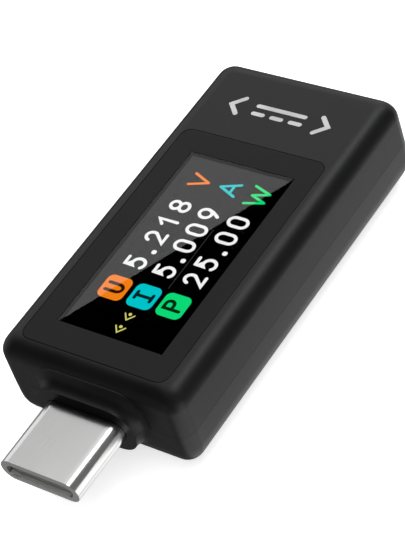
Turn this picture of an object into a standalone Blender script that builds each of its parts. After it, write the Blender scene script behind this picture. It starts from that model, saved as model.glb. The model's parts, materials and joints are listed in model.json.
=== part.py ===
"""Inline USB-C power meter: plug at one end, receptacle at the other, colour display on top.

Frame: +Z up out of the display, +Y from the plug towards the receptacle, +X across.
The origin is the centre of the bounding box's bottom face.
"""

import math

import bmesh
import bpy
from mathutils import Matrix, Vector

MM = 0.001

# Driving dimensions of the housing
BODY_WIDTH = 19.4 * MM
BODY_LENGTH = 38.0 * MM
BODY_HEIGHT = 9.45 * MM
PLUG_REACH = 8.2 * MM
SIDE_WALL = 1.4 * MM
END_WALL = 1.3 * MM
DRAFT_ANGLE = math.radians(1.4)
CORNER_RADIUS = 1.5 * MM
CORNER_TIGHTENING = 0.22
TOP_RADII = (1.85 * MM, 1.65 * MM)  # along the sides, along the ends
BOTTOM_RADII = (2.9 * MM, 2.5 * MM)
EDGE_SEGMENTS = 8
SEAM = 0.02 * MM
CUTTER_OVERRUN = 1.0 * MM  # how far a cutter runs past what it opens
ROOT_OVERLAP = 0.3 * MM  # how deep a post is let into the wall that it stands on
SMOOTH_ANGLE = 30  # degrees; edges sharper than this stay crisp
TUBE_SMOOTH_ANGLE = 40

# Places that follow from them
PLUG_TIP_Y = -(BODY_LENGTH + PLUG_REACH) / 2
NEAR_Y = PLUG_TIP_Y + PLUG_REACH
FAR_Y = NEAR_Y + BODY_LENGTH
AXIS_Z = BODY_HEIGHT / 2
CAVITY_X = BODY_WIDTH / 2 - SIDE_WALL
CAVITY_NEAR_Y = NEAR_Y + END_WALL
CAVITY_FAR_Y = FAR_Y - END_WALL
FLOOR_Z = 1.2 * MM
CEILING_Z = 8.35 * MM
FLOOR_BEVEL = 1.6 * MM
CEILING_BEVEL = 0.4 * MM

# Overlapping rim between the two shells
RIM_THICKNESS = 0.55 * MM
RIM_HEIGHT = 0.7 * MM
RIM_GAP = 0.05 * MM
SNAP_LENGTH = 3.0 * MM
SNAP_DEPTH = 0.12 * MM
SNAP_Y = (-7.0 * MM, 13.0 * MM)
SNAP_RISE = 0.3 * MM
SNAP_PLAY = 0.06 * MM

# Boss that stands round the plug
BOSS_REACH = 1.25 * MM
BOSS_HALF_WIDTH = 5.15 * MM
BOSS_HALF_HEIGHT = 2.5 * MM
BOSS_CORNER = 2.35 * MM
BOSS_SIDE_FLARE = 0.6 * MM
BOSS_TOP_FLARE = 1.2 * MM
BOSS_BOTTOM_FLARE = 0.25 * MM
BOSS_SETBACK = 0.2 * MM
BOSS_ROOT_Y = CAVITY_NEAR_Y - BOSS_SETBACK
BOSS_STEPS = 6

# Display stack, from the top down
PANEL_WIDTH = 15.36 * MM
PANEL_LENGTH = 26.8 * MM
PANEL_CORNER = 1.0 * MM
PANEL_THICKNESS = 0.5 * MM
PANEL_EDGE_RADIUS = 0.06 * MM
PANEL_CENTRE_Y = 0.08 * MM
PANEL_GAP = 0.05 * MM
RECESS_DEPTH = 0.65 * MM
WINDOW_WIDTH = 11.1 * MM
WINDOW_LENGTH = 21.55 * MM
WINDOW_CENTRE_X = 0.15 * MM
WINDOW_CENTRE_Y = 0.14 * MM
WINDOW_THICKNESS = 0.45 * MM
WINDOW_RECESS = 0.03 * MM
FIT_GAP = 0.03 * MM
TAPE_INSET = 0.15 * MM
DISPLAY_CLEARANCE = 0.2 * MM
LCD_WIDTH = 13.6 * MM
LCD_NEAR_Y = -11.7 * MM
LCD_GLASS_FAR_Y = 12.0 * MM
LCD_LEDGE_FAR_Y = 15.5 * MM
LCD_TOP_Z = 8.9 * MM
LCD_LEDGE_Z = 8.2 * MM
LCD_BOTTOM_Z = 7.85 * MM
BACKLIGHT_BOTTOM_Z = 6.95 * MM
TRAY_OVERHANG = 0.12 * MM
TRAY_WALL = 0.6 * MM
TRAY_FLOOR = 0.25 * MM
TRAY_BEVEL = 0.05 * MM
FLEX_HALF_WIDTH = 4.0 * MM
FLEX_THICKNESS = 0.12 * MM
FLEX_BEND_RADIUS = 0.88 * MM
FLEX_BEND_OUT = 0.5 * MM
FLEX_SOCKET_CLEARANCE = 0.3 * MM
FLEX_LEDGE_OVERLAP = 1.3 * MM
FLEX_LANDING_Y = (10.8 * MM, 12.6 * MM)

# Board
BOARD_THICKNESS = 0.8 * MM
BOARD_HALF_WIDTH = 7.9 * MM
BOARD_CORNER = 1.5 * MM
BOARD_NEAR_Y = -11.3 * MM
BOARD_FAR_Y = 21.3 * MM
BOARD_TOP_Z = AXIS_Z + BOARD_THICKNESS / 2
BOARD_BOTTOM_Z = AXIS_Z - BOARD_THICKNESS / 2
SOCKET_NOTCH_CLEARANCE = 0.2 * MM
SOLDER_GAP = 0.03 * MM
POST_RADIUS = 0.9 * MM
PIN_RADIUS = 0.45 * MM
PIN_HOLE_RADIUS = 0.52 * MM
POSTS = ((6.3 * MM, -9.0 * MM), (6.3 * MM, 18.2 * MM))
CLAMP_GAP = 0.04 * MM
NEAR_COLUMN_X = 7.6 * MM
NEAR_COLUMN_HALF = 0.6 * MM

# Soldered parts
PART_BEVEL = 0.06 * MM
CHIP_BEVEL = 0.08 * MM
LEAD_THICKNESS = 0.15 * MM
LEAD_REACH = 0.5 * MM
LEAD_SHARE = 0.3  # of the pitch
COIL_BASE_SHARE = 0.3  # of the height
COIL_CORE_SHARE = 0.46  # of the diameter, as a radius
COIL_OVERLAP = 0.1 * MM

# USB-C plug
PLUG_WIDTH = 8.25 * MM
PLUG_HEIGHT = 2.40 * MM
PLUG_WALL = 0.2 * MM
PLUG_LIP = 0.4 * MM
PLUG_EDGE_RADIUS = 0.12 * MM
PLUG_MOUTH_WIDTH = 6.95 * MM
PLUG_MOUTH_HEIGHT = 1.35 * MM
PLUG_REAR_Y = -11.8 * MM
PLUG_CAVITY_WIDTH = 6.8 * MM
PLUG_CAVITY_HEIGHT = 1.3 * MM
PLUG_WAFER_Y = -17.4 * MM
PLUG_SLOT_GAP = 0.05 * MM
PLUG_TAB_X = (3.72 * MM, 4.3 * MM)
PLUG_TAB_Z = (0.45 * MM, 0.68 * MM)
PLUG_TAB_LENGTH = 1.2 * MM
CORE_GAP = 0.05 * MM
CORE_SETBACK = 0.45 * MM
CORE_REAR_Y = PLUG_REAR_Y - CORE_SETBACK
GROUND_SPRING_X = 2.85 * MM
GROUND_SPRING_Y = (PLUG_TIP_Y + 1.05 * MM, PLUG_TIP_Y + 3.35 * MM)
GROUND_SPRING_Z = (0.83 * MM, 0.95 * MM)

# Side latches, which bend outwards as the tongue of a socket pushes past them
LATCH_HEIGHT = 0.6 * MM
LATCH_THICKNESS = 0.22 * MM
LATCH_TIP_Y = PLUG_TIP_Y + 1.1 * MM
LATCH_ROOT_Y = PLUG_TIP_Y + 7.6 * MM
LATCH_INNER_X = 3.42 * MM
LATCH_HOOK_REACH = 0.3 * MM
LATCH_HOOK_LENGTH = 0.9 * MM
LATCH_HOOK_SETBACK = 0.1 * MM
LATCH_HOOK_FLAT = (0.35, 0.55)  # where the hook's flat starts and ends, along its length
LATCH_HOOK_SHARE = 0.85  # of the leaf's height
LATCH_CLEARANCE = 0.1 * MM
LATCH_BEND_FROM_ROOT = 0.8 * MM

# USB-C receptacle
SOCKET_INNER_WIDTH = 8.34 * MM
SOCKET_INNER_HEIGHT = 2.56 * MM
SOCKET_WALL = 0.3 * MM
SOCKET_MOUTH_Y = FAR_Y - 0.25 * MM
SOCKET_LENGTH = 7.35 * MM
SOCKET_REAR_Y = SOCKET_MOUTH_Y - SOCKET_LENGTH
SOCKET_BODY_FRONT_Y = SOCKET_REAR_Y + 1.6 * MM
TONGUE_WIDTH = 6.69 * MM
TONGUE_THICKNESS = 0.70 * MM
TONGUE_TIP_Y = SOCKET_MOUTH_Y - 0.8 * MM
SOCKET_EDGE_BEVEL = 0.08 * MM
SOCKET_BODY_GAP = 0.05 * MM
SOCKET_MOUTH_CLEARANCE = 0.1 * MM
TONGUE_BEVEL = 0.05 * MM
LAYER_GAP = 0.015 * MM
MID_PLATE_INSET = 0.1 * MM
MID_PLATE_SETBACK = 0.2 * MM
MID_PLATE_THICKNESS = 0.15 * MM
MID_PLATE_NOTCH_DEPTH = 0.35 * MM
MID_PLATE_NOTCH_Y = (TONGUE_TIP_Y - 2.6 * MM, TONGUE_TIP_Y - 1.5 * MM)
TONGUE_SEAT_HALF_HEIGHT = 0.65 * MM
MOUTH_FLARE = 0.3 * MM
WING_X = (4.18 * MM, 5.7 * MM)
WING_Y = (SOCKET_REAR_Y + 1.2 * MM, SOCKET_MOUTH_Y - 2.8 * MM)
WING_LENGTH = 1.0 * MM
WING_THICKNESS = 0.22 * MM

# Contact rows, the same pitch at both ends
CONTACT_COUNT = 12
CONTACT_PITCH = 0.5 * MM
CONTACT_WIDTH = 0.25 * MM
CONTACT_BAR_HALF_HEIGHT = 0.6 * MM
PLUG_BEAM_Y = (PLUG_TIP_Y + 1.3 * MM, BOARD_NEAR_Y + 1.6 * MM)
PLUG_BEAM_Z = (0.44 * MM, 0.56 * MM)
BLADE_RECESS = 0.04 * MM
BLADE_SETBACK = 0.5 * MM
BLADE_OVERLAP = 0.1 * MM
BLADE_THICKNESS = 0.07 * MM
TAIL_THICKNESS = 0.1 * MM
TAIL_LENGTH = 1.6 * MM

ROUND_SEGMENTS = 8
PILLAR_SIDES = 16
NEARLY_ROUND = 0.999  # leaves a short straight side, so that outlines keep their point count

parts = None
cutters = None


def clear_scene():
    for obj in list(bpy.data.objects):
        bpy.data.objects.remove(obj, do_unlink=True)


def new_collection(name):
    collection = bpy.data.collections.new(name)
    bpy.context.scene.collection.children.link(collection)
    return collection


def plain_material(name, color, roughness, metallic=0.0, transmission=0.0):
    material = bpy.data.materials.new(name)
    material.use_nodes = True
    shader = material.node_tree.nodes["Principled BSDF"]
    shader.inputs["Base Color"].default_value = (*color, 1.0)
    shader.inputs["Roughness"].default_value = roughness
    shader.inputs["Metallic"].default_value = metallic
    shader.inputs["Transmission Weight"].default_value = transmission
    return material


# Building blocks


def new_object(name, bm, collection=None):
    """A mesh object from bm, in the parts collection unless another is given."""
    bmesh.ops.recalc_face_normals(bm, faces=bm.faces)
    mesh = bpy.data.meshes.new(name)
    bm.to_mesh(mesh)
    bm.free()
    obj = bpy.data.objects.new(name, mesh)
    (collection or parts).objects.link(obj)
    if collection is cutters:
        hide(obj)
    return obj


def hide(obj):
    obj.hide_render = True
    obj.display_type = "WIRE"


def box_mesh(low, high):
    bm = bmesh.new()
    bmesh.ops.create_cube(bm, size=1.0)
    low, high = Vector(low), Vector(high)
    size = high - low
    bmesh.ops.scale(bm, vec=size, verts=bm.verts)
    bmesh.ops.translate(bm, vec=(low + high) / 2, verts=bm.verts)
    return bm


def block(name, low, high, bevel=0.0, segments=2, collection=None):
    """A box from its lowest to its highest corner, with its edges rounded by bevel."""
    obj = new_object(name, box_mesh(low, high), collection)
    if bevel:
        round_edges(obj, bevel, segments)
    return obj


def pillar(name, centre_x, centre_y, radius, z_low, z_high, collection=None):
    bm = bmesh.new()
    bmesh.ops.create_cone(
        bm,
        cap_ends=True,
        segments=PILLAR_SIDES,
        radius1=radius,
        radius2=radius,
        depth=z_high - z_low,
    )
    centre = Vector((centre_x, centre_y, (z_low + z_high) / 2))
    bmesh.ops.translate(bm, vec=centre, verts=bm.verts)
    return new_object(name, bm, collection)


def round_edges(obj, width, segments=2):
    bevel = obj.modifiers.new("rounded edges", "BEVEL")
    bevel.width = width
    bevel.segments = segments
    bevel.limit_method = "ANGLE"
    bevel.angle_limit = math.radians(40)
    bevel.use_clamp_overlap = True


def rounded_outline(half_width, half_height, radius, segments=ROUND_SEGMENTS):
    """Corner points of a rounded rectangle about the origin, anticlockwise."""
    points = []
    for quarter in range(4):
        side_x = 1 if quarter in (0, 3) else -1
        side_y = 1 if quarter in (0, 1) else -1
        for step in range(segments + 1):
            angle = (quarter + step / segments) * math.pi / 2
            x = side_x * (half_width - radius) + radius * math.cos(angle)
            y = side_y * (half_height - radius) + radius * math.sin(angle)
            if not points or math.dist(points[-1], (x, y)) > 1e-7:
                points.append((x, y))
    if math.dist(points[0], points[-1]) < 1e-7:
        points.pop()
    return points


def flat_solid(name, outline, thickness, matrix, collection=None):
    """An outline's solid, made as a filled 2D curve and then turned into a welded mesh."""
    curve = bpy.data.curves.new(name, "CURVE")
    curve.dimensions = "2D"
    curve.fill_mode = "BOTH"
    curve.extrude = thickness / 2
    spline = curve.splines.new("POLY")
    spline.points.add(len(outline) - 1)
    for point, (x, y) in zip(spline.points, outline):
        point.co = (x, y, 0.0, 1.0)
    spline.use_cyclic_u = True
    guide = bpy.data.objects.new(name + "_outline", curve)
    parts.objects.link(guide)
    bpy.context.view_layer.update()
    evaluated = guide.evaluated_get(bpy.context.evaluated_depsgraph_get())
    mesh = bpy.data.meshes.new_from_object(evaluated)
    bm = bmesh.new()
    bm.from_mesh(mesh)
    bmesh.ops.remove_doubles(bm, verts=bm.verts, dist=1e-6)
    bmesh.ops.transform(bm, matrix=matrix, verts=bm.verts)
    bpy.data.objects.remove(guide, do_unlink=True)
    bpy.data.meshes.remove(mesh)
    return new_object(name, bm, collection)


def tube_solid(name, width, height, y_low, y_high, radius=None, collection=None):
    """A bar along Y on the connector axis; its ends are half round unless radius is given."""
    radius = min(width, height) / 2 if radius is None else radius
    outline = rounded_outline(width / 2, height / 2, radius)
    upright = Matrix.Rotation(math.pi / 2, 4, "X")
    place = Matrix.Translation((0, (y_low + y_high) / 2, AXIS_Z))
    return flat_solid(name, outline, y_high - y_low, place @ upright, collection)


def plate_solid(name, width, length, radius, centre_y, z_low, z_high, collection=None):
    """A flat plate with rounded corners, centred across the body."""
    outline = rounded_outline(width / 2, length / 2, radius, 6)
    place = Matrix.Translation((0, centre_y, (z_low + z_high) / 2))
    return flat_solid(name, outline, z_high - z_low, place, collection)


def combine(obj, other, operation):
    boolean = obj.modifiers.new(f"{operation.lower()} {other.name}", "BOOLEAN")
    boolean.operation = operation
    boolean.object = other


def cut(obj, *others):
    for other in others:
        combine(obj, other, "DIFFERENCE")


def join(obj, *others):
    for other in others:
        combine(obj, other, "UNION")


def loft(name, rings, collection):
    """A closed solid through rings of equally many points, capped at both ends."""
    bm = bmesh.new()
    loops = [[bm.verts.new(point) for point in ring] for ring in rings]
    count = len(loops[0])
    for lower, upper in zip(loops, loops[1:]):
        for i in range(count):
            j = (i + 1) % count
            bm.faces.new((lower[i], lower[j], upper[j], upper[i]))
    bm.faces.new(loops[0])
    bm.faces.new(loops[-1])
    return new_object(name, bm, collection)


def finish(obj, material, smooth_angle=None):
    obj.data.materials.append(material)
    if smooth_angle is not None:
        obj.data.shade_smooth()
        obj.data.set_sharp_from_angle(angle=math.radians(smooth_angle))
    return obj


# Housing


def half_housing(name, z_seam, z_face, radii):
    """One half of the housing: drafted sides that roll over into the flat face."""
    side = math.copysign(1, z_face - z_seam)
    height = abs(z_face - z_seam)
    bend = max(radii)
    rings = [housing_ring(z_seam, 0.0, 0.0)]
    for step in range(EDGE_SEGMENTS + 1):
        rise = height - bend + bend * math.sin(step / EDGE_SEGMENTS * math.pi / 2)
        draft = (height - bend) * math.tan(DRAFT_ANGLE)
        side_inset, end_inset = (fillet_inset(height - rise, radius) for radius in radii)
        rings.append(housing_ring(z_seam + side * rise, draft + side_inset, end_inset))
    return loft(name, rings, parts)


def fillet_inset(depth, radius):
    """How far a rounded edge has drawn in, at this depth below its face."""
    if depth >= radius:
        return 0.0
    return radius - math.sqrt(radius**2 - (radius - depth) ** 2)


def housing_ring(z, side_inset, end_inset):
    """The housing's outline at one height; its corners tighten as it draws in."""
    corner = CORNER_RADIUS - CORNER_TIGHTENING * (side_inset + end_inset)
    half_width = BODY_WIDTH / 2 - side_inset
    half_length = BODY_LENGTH / 2 - end_inset
    centre_y = (NEAR_Y + FAR_Y) / 2
    return [(x, centre_y + y, z) for x, y in rounded_outline(half_width, half_length, corner)]


def boss_half(name, side, flare, z_seam):
    """Half of the plug boss: its section grows into the end face as a hollow fillet."""
    rings = []
    for step in range(BOSS_STEPS + 1):
        out = BOSS_REACH * (1 - step / BOSS_STEPS)
        grow = 1 - math.sqrt(1 - (1 - out / BOSS_REACH) ** 2)
        rings.append(boss_ring(NEAR_Y - out, grow, side, flare, z_seam))
    rings.append(boss_ring(BOSS_ROOT_Y, 1.0, side, flare, z_seam))
    return loft(name, rings, cutters)


def boss_ring(y, grow, side, flare, z_seam):
    half_width = BOSS_HALF_WIDTH + grow * BOSS_SIDE_FLARE
    half_height = BOSS_HALF_HEIGHT + grow * flare - abs(z_seam - AXIS_Z)
    corner = BOSS_CORNER - abs(z_seam - AXIS_Z)
    points = [(-half_width, y, z_seam), (half_width, y, z_seam)]
    for step in range(ROUND_SEGMENTS + 1):
        angle = step / ROUND_SEGMENTS * math.pi / 2
        x = half_width - corner + corner * math.cos(angle)
        z = half_height - corner + corner * math.sin(angle)
        points.append((x, y, z_seam + side * z))
    mirrored = [(-x, y, z) for x, y, z in reversed(points[2:])]
    return points[:2] + points[3:] + mirrored[:-1]


def connector_openings():
    """Cutters for the plug's slot and for the flared mouth in front of the receptacle."""
    plug_slot = tube_solid(
        "plug_slot",
        PLUG_WIDTH + 2 * PLUG_SLOT_GAP,
        PLUG_HEIGHT + 2 * PLUG_SLOT_GAP,
        NEAR_Y - 2 * BOSS_REACH,
        CAVITY_NEAR_Y + CUTTER_OVERRUN,
        collection=cutters,
    )
    room = SOCKET_WALL + SOCKET_MOUTH_CLEARANCE
    socket_width = SOCKET_INNER_WIDTH + 2 * room
    socket_height = SOCKET_INNER_HEIGHT + 2 * room
    sections = (
        (CAVITY_FAR_Y - CUTTER_OVERRUN, 0.0),
        (FAR_Y - MOUTH_FLARE, 0.0),
        (FAR_Y + MOUTH_FLARE, 2 * MOUTH_FLARE),
    )
    rings = []
    for y, grow in sections:
        half_width = socket_width / 2 + grow
        half_height = socket_height / 2 + grow
        outline = rounded_outline(half_width, half_height, NEARLY_ROUND * half_height)
        rings.append([(x, y, AXIS_Z + z) for x, z in outline])
    return plug_slot, loft("socket_mouth", rings, cutters)


def cavity_cutter(name, z_low, z_high, bevel, grow=0.0):
    low = (-CAVITY_X - grow, CAVITY_NEAR_Y - grow, z_low)
    high = (CAVITY_X + grow, CAVITY_FAR_Y + grow, z_high)
    return block(name, low, high, bevel, 3, cutters)


def snap_blocks(name, reach, z_low, z_high, longer):
    """Two bars that run along both sides just above the seam, at each snap's place."""
    made = []
    for index, centre_y in enumerate(SNAP_Y):
        half = SNAP_LENGTH / 2 + longer
        low = (-reach, centre_y - half, z_low)
        high = (reach, centre_y + half, z_high)
        made.append(block(f"{name}_{index + 1}", low, high, collection=cutters))
    return made


def top_shell(material, plug_slot, socket_mouth):
    seam_z = AXIS_Z + SEAM / 2
    shell = half_housing("top_shell", seam_z, BODY_HEIGHT, TOP_RADII)
    join(shell, boss_half("upper_boss", 1, BOSS_TOP_FLARE, seam_z))
    cut(shell, cavity_cutter("upper_cavity", AXIS_Z - CUTTER_OVERRUN, CEILING_Z, CEILING_BEVEL))
    rim_top = seam_z + RIM_HEIGHT + RIM_GAP
    grow = RIM_THICKNESS + RIM_GAP
    cut(shell, cavity_cutter("rim_rebate", AXIS_Z - CUTTER_OVERRUN, rim_top, 0.0, grow))
    reach = CAVITY_X + grow + SNAP_DEPTH
    cut(shell, *snap_blocks("snap_groove", reach, AXIS_Z + SNAP_RISE, rim_top, SNAP_PLAY))
    cut(
        shell,
        plate_solid(
            "panel_recess",
            PANEL_WIDTH + 2 * PANEL_GAP,
            PANEL_LENGTH + 2 * PANEL_GAP,
            PANEL_CORNER + PANEL_GAP,
            PANEL_CENTRE_Y,
            BODY_HEIGHT - RECESS_DEPTH,
            BODY_HEIGHT + CUTTER_OVERRUN,
            cutters,
        ),
        block(
            "display_opening",
            display_corner(-1, LCD_NEAR_Y, CEILING_Z - CUTTER_OVERRUN),
            display_corner(1, LCD_GLASS_FAR_Y, BODY_HEIGHT),
            collection=cutters,
        ),
        plug_slot,
        socket_mouth,
    )
    add_pressing_columns(shell)
    return finish(shell, material, SMOOTH_ANGLE)


def display_corner(side, y, z):
    """A corner of the opening that leaves the display's glass clear all round."""
    x = side * (LCD_WIDTH / 2 + DISPLAY_CLEARANCE)
    return x, y + side * DISPLAY_CLEARANCE, z


def add_pressing_columns(shell):
    """Columns that hold the board down on the posts of the bottom shell."""
    foot_z = BOARD_TOP_Z + CLAMP_GAP
    root_z = CEILING_Z + ROOT_OVERLAP
    half = NEAR_COLUMN_HALF
    near_y, far_y = (y for _, y in POSTS)
    for side in (-1, 1):
        x = side * NEAR_COLUMN_X
        low = (x - half, near_y - half, foot_z)
        high = (x + half, near_y + half, root_z)
        join(shell, block(f"near_column_{side}", low, high, collection=cutters))
        x = side * POSTS[1][0]
        column = pillar(f"far_column_{side}", x, far_y, POST_RADIUS, foot_z, root_z, cutters)
        join(shell, column)


def bottom_shell(material, plug_slot, socket_mouth):
    seam_z = AXIS_Z - SEAM / 2
    shell = half_housing("bottom_shell", seam_z, 0.0, BOTTOM_RADII)
    join(shell, boss_half("lower_boss", -1, BOSS_BOTTOM_FLARE, seam_z))
    join(shell, rim_solid(seam_z))
    cut(shell, cavity_cutter("lower_cavity", FLOOR_Z, AXIS_Z + 2 * CUTTER_OVERRUN, FLOOR_BEVEL))
    cut(shell, plug_slot, socket_mouth)
    for x, y in POSTS:
        for side in (-1, 1):
            place = (side * x, y)
            top_z = BOARD_BOTTOM_Z - CLAMP_GAP
            pin_z = BOARD_TOP_Z - CLAMP_GAP
            root_z = FLOOR_Z - ROOT_OVERLAP
            label = f"{side}_{round(y / MM)}"
            join(shell, pillar("post_" + label, *place, POST_RADIUS, root_z, top_z, cutters))
            join(shell, pillar("pin_" + label, *place, PIN_RADIUS, root_z, pin_z, cutters))
    return finish(shell, material, SMOOTH_ANGLE)


def rim_solid(seam_z):
    """The raised rim, with its snap beads, as a block that the cavity then hollows out."""
    low_z = seam_z - RIM_THICKNESS
    rim = cavity_cutter("rim", low_z, seam_z + RIM_HEIGHT, 0.0, RIM_THICKNESS)
    reach = CAVITY_X + RIM_THICKNESS + SNAP_DEPTH
    bead_low = AXIS_Z + SNAP_RISE + SNAP_PLAY
    bead_high = seam_z + RIM_HEIGHT - SNAP_PLAY
    join(rim, *snap_blocks("snap_bead", reach, bead_low, bead_high, 0.0))
    return rim


# Display


def front_panel(material):
    z_low = BODY_HEIGHT - PANEL_THICKNESS
    panel = plate_solid(
        "front_panel",
        PANEL_WIDTH,
        PANEL_LENGTH,
        PANEL_CORNER,
        PANEL_CENTRE_Y,
        z_low,
        BODY_HEIGHT,
    )
    round_edges(panel, PANEL_EDGE_RADIUS)
    low = window_corner(-1, 0.0, z_low - CUTTER_OVERRUN)
    high = window_corner(1, 0.0, BODY_HEIGHT + CUTTER_OVERRUN)
    cut(panel, block("window_opening", low, high, collection=cutters))
    return finish(panel, material, SMOOTH_ANGLE)


def window_corner(side, gap, z):
    x = WINDOW_CENTRE_X + side * (WINDOW_WIDTH / 2 - gap)
    y = WINDOW_CENTRE_Y + side * (WINDOW_LENGTH / 2 - gap)
    return x, y, z


def display_window(material):
    z_high = BODY_HEIGHT - WINDOW_RECESS
    low = window_corner(-1, FIT_GAP, z_high - WINDOW_THICKNESS)
    high = window_corner(1, FIT_GAP, z_high)
    return finish(block("display_window", low, high), material)


def panel_tape(material):
    """The adhesive frame between the recess floor and the front panel."""
    z_low = BODY_HEIGHT - RECESS_DEPTH + FIT_GAP
    z_high = BODY_HEIGHT - PANEL_THICKNESS - FIT_GAP
    tape = plate_solid(
        "panel_tape",
        PANEL_WIDTH - 2 * TAPE_INSET,
        PANEL_LENGTH - 2 * TAPE_INSET,
        PANEL_CORNER - TAPE_INSET,
        PANEL_CENTRE_Y,
        z_low,
        z_high,
    )
    low = display_corner(-1, LCD_NEAR_Y, z_low - CUTTER_OVERRUN)
    high = display_corner(1, LCD_GLASS_FAR_Y, z_high + CUTTER_OVERRUN)
    cut(tape, block("tape_opening", low, high, collection=cutters))
    return finish(tape, material)


def lcd_cell(material):
    """Two bonded sheets of glass: the lower one runs on as the ledge that takes the flex."""
    half = LCD_WIDTH / 2
    low = (-half, LCD_NEAR_Y, LCD_BOTTOM_Z)
    cell = block("lcd_cell", low, (half, LCD_LEDGE_FAR_Y, LCD_LEDGE_Z))
    upper = block("upper_glass", low, (half, LCD_GLASS_FAR_Y, LCD_TOP_Z), collection=cutters)
    join(cell, upper)
    return finish(cell, material)


def backlight(frame_material, guide_material):
    """A shallow tray under the cell, with the clear light guide lying in it."""
    floor_z = BACKLIGHT_BOTTOM_Z + TRAY_FLOOR
    top_z = LCD_BOTTOM_Z - FIT_GAP
    reach_x = LCD_WIDTH / 2 + TRAY_OVERHANG
    low = Vector((-reach_x, LCD_NEAR_Y - TRAY_OVERHANG, BACKLIGHT_BOTTOM_Z))
    high = Vector((reach_x, LCD_LEDGE_FAR_Y + TRAY_OVERHANG, top_z))
    frame = block("backlight_frame", low, high, TRAY_BEVEL, 1)
    inside_low = (low.x + TRAY_WALL, low.y + TRAY_WALL, floor_z)
    inside_high = (high.x - TRAY_WALL, high.y - TRAY_WALL, top_z + CUTTER_OVERRUN)
    cut(frame, block("tray", inside_low, inside_high, collection=cutters))
    inset = TRAY_WALL + 2 * FIT_GAP
    guide_low = (low.x + inset, low.y + inset, floor_z + FIT_GAP)
    guide_high = (high.x - inset, high.y - inset, top_z - FIT_GAP)
    finish(block("light_guide", guide_low, guide_high, TRAY_BEVEL, 1), guide_material)
    return finish(frame, frame_material)


def lcd_flex(material):
    """The display's flexible tail: off the ledge, round in a half circle and onto the board."""
    start_z = LCD_LEDGE_Z + FLEX_THICKNESS / 2 + FIT_GAP
    bend_y = LCD_LEDGE_FAR_Y + FLEX_BEND_OUT
    bend_z = start_z - FLEX_BEND_RADIUS
    landing_z = BOARD_TOP_Z + FLEX_THICKNESS / 2 + SOLDER_GAP
    route = [(LCD_LEDGE_FAR_Y - FLEX_LEDGE_OVERLAP, start_z)]
    for step in range(ROUND_SEGMENTS + 1):
        angle = math.pi / 2 - step / ROUND_SEGMENTS * math.pi
        y = bend_y + FLEX_BEND_RADIUS * math.cos(angle)
        route.append((y, bend_z + FLEX_BEND_RADIUS * math.sin(angle)))
    route.append((SOCKET_REAR_Y - FLEX_SOCKET_CLEARANCE, start_z - 2 * FLEX_BEND_RADIUS))
    route += [(y, landing_z) for y in reversed(FLEX_LANDING_Y)]
    bm = bmesh.new()
    sides = (-FLEX_HALF_WIDTH, FLEX_HALF_WIDTH)
    rows = [[bm.verts.new((x, y, z)) for x in sides] for y, z in route]
    for here, there in zip(rows, rows[1:]):
        bm.faces.new((here[0], here[1], there[1], there[0]))
    flex = new_object("lcd_flex", bm)
    solidify = flex.modifiers.new("film thickness", "SOLIDIFY")
    solidify.thickness = FLEX_THICKNESS
    solidify.offset = 0.0
    solidify.use_even_offset = True
    return finish(flex, material, TUBE_SMOOTH_ANGLE)


# Board and what is soldered on it


def main_board(material):
    board = plate_solid(
        "main_board",
        2 * BOARD_HALF_WIDTH,
        BOARD_FAR_Y - BOARD_NEAR_Y,
        BOARD_CORNER,
        (BOARD_NEAR_Y + BOARD_FAR_Y) / 2,
        BOARD_BOTTOM_Z,
        BOARD_TOP_Z,
    )
    clearance = SOCKET_NOTCH_CLEARANCE
    half = SOCKET_INNER_WIDTH / 2 + SOCKET_WALL + clearance
    notch_low = (-half, SOCKET_REAR_Y - clearance, BOARD_BOTTOM_Z - CUTTER_OVERRUN)
    notch_high = (half, BOARD_FAR_Y + CUTTER_OVERRUN, BOARD_TOP_Z + CUTTER_OVERRUN)
    cut(board, block("socket_notch", notch_low, notch_high, collection=cutters))
    for x, y in POSTS:
        for side in (-1, 1):
            hole = pillar(
                f"pin_hole_{side}_{round(y / MM)}",
                side * x,
                y,
                PIN_HOLE_RADIUS,
                BOARD_BOTTOM_Z - CUTTER_OVERRUN,
                BOARD_TOP_Z + CUTTER_OVERRUN,
                cutters,
            )
            cut(board, hole)
    return finish(board, material)


def on_board(place, size, below=False):
    """Corners of a component of this size soldered at (x, y), above or below the board."""
    x, y = (value * MM for value in place)
    width, length, height = (value * MM for value in size)
    if below:
        z_high = BOARD_BOTTOM_Z - SOLDER_GAP
        z_low = z_high - height
    else:
        z_low = BOARD_TOP_Z + SOLDER_GAP
        z_high = z_low + height
    low = (x - width / 2, y - length / 2, z_low)
    return low, (x + width / 2, y + length / 2, z_high)


def chip(name, material, place, size, leads, below=False):
    """A moulded package, (width, length, height), with leads a side along Y joined to it."""
    low, high = on_board(place, size, below)
    obj = block(name, low, high, CHIP_BEVEL, 1)
    pitch = (high[1] - low[1]) / leads
    half = LEAD_SHARE * pitch / 2
    z_low = high[2] - LEAD_THICKNESS if below else low[2]
    for index in range(leads):
        y = low[1] + (index + 0.5) * pitch
        lead_low = (low[0] - LEAD_REACH, y - half, z_low)
        lead_high = (high[0] + LEAD_REACH, y + half, z_low + LEAD_THICKNESS)
        lead = block(f"{name}_lead_{index + 1}", lead_low, lead_high, collection=cutters)
        join(obj, lead)
    return finish(obj, material)


def square_part(name, material, place, size, below=False):
    low, high = on_board(place, size, below)
    return finish(block(name, low, high, PART_BEVEL, 1), material)


def coil_part(name, material, place, diameter, height):
    """A shielded inductor: a square base with a round core standing under it."""
    low, high = on_board(place, (diameter, diameter, height), below=True)
    base_low = (low[0], low[1], high[2] - COIL_BASE_SHARE * height * MM)
    obj = block(name, base_low, high, CHIP_BEVEL, 1)
    radius = COIL_CORE_SHARE * diameter * MM
    x, y = (value * MM for value in place)
    core = pillar(name + "_core", x, y, radius, low[2], high[2] - COIL_OVERLAP, cutters)
    join(obj, core)
    return finish(obj, material)


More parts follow.
